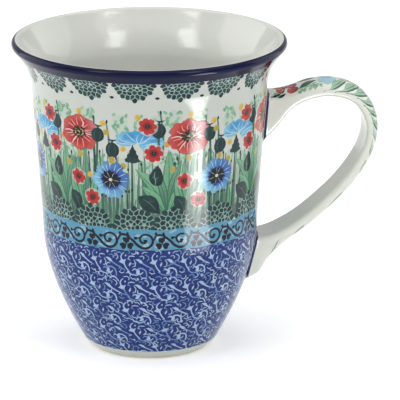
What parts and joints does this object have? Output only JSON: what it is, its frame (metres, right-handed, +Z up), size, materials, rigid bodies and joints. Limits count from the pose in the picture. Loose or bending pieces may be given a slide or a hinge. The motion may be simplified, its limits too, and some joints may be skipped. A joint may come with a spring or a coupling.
{
  "type": "footed stoneware mug",
  "caption": "Tall footed mug with a flared lip and one looped strap handle, glazed stoneware with a floral band, a scroll band and a cobalt vine ground.",
  "frame": {"origin": "on the cup's axis, in the plane the foot ring stands on", "axes": "+Z up along the cup's axis, +X towards the handle, +Y completes a right-handed frame"},
  "size_m": [0.1388, 0.1038, 0.1193],
  "materials": {
    "bare_clay": "bare fired stoneware, fine grained and matt",
    "handle_glaze": "clear gloss glaze over white clay, with painted sprays on the outer face",
    "painted_slip": "clear gloss glaze over a cobalt outline",
    "liner_glaze": "clear gloss glaze over white clay",
    "decorated_glaze": "clear gloss glaze over stamped and painted underglaze decoration",
    "cobalt_glaze": "clear gloss glaze over dark cobalt",
    "base_glaze": "clear gloss glaze over white clay"
  },
  "bodies": {
    "root": {"cup_body": "bare_clay", "handle": "handle_glaze", "upper_slip_joint": "painted_slip", "lower_slip_joint": "painted_slip", "liner_glaze": "liner_glaze", "outer_glaze": "decorated_glaze", "rim_band": "cobalt_glaze", "base_glaze": "base_glaze"}
  },
  "joints": []
}
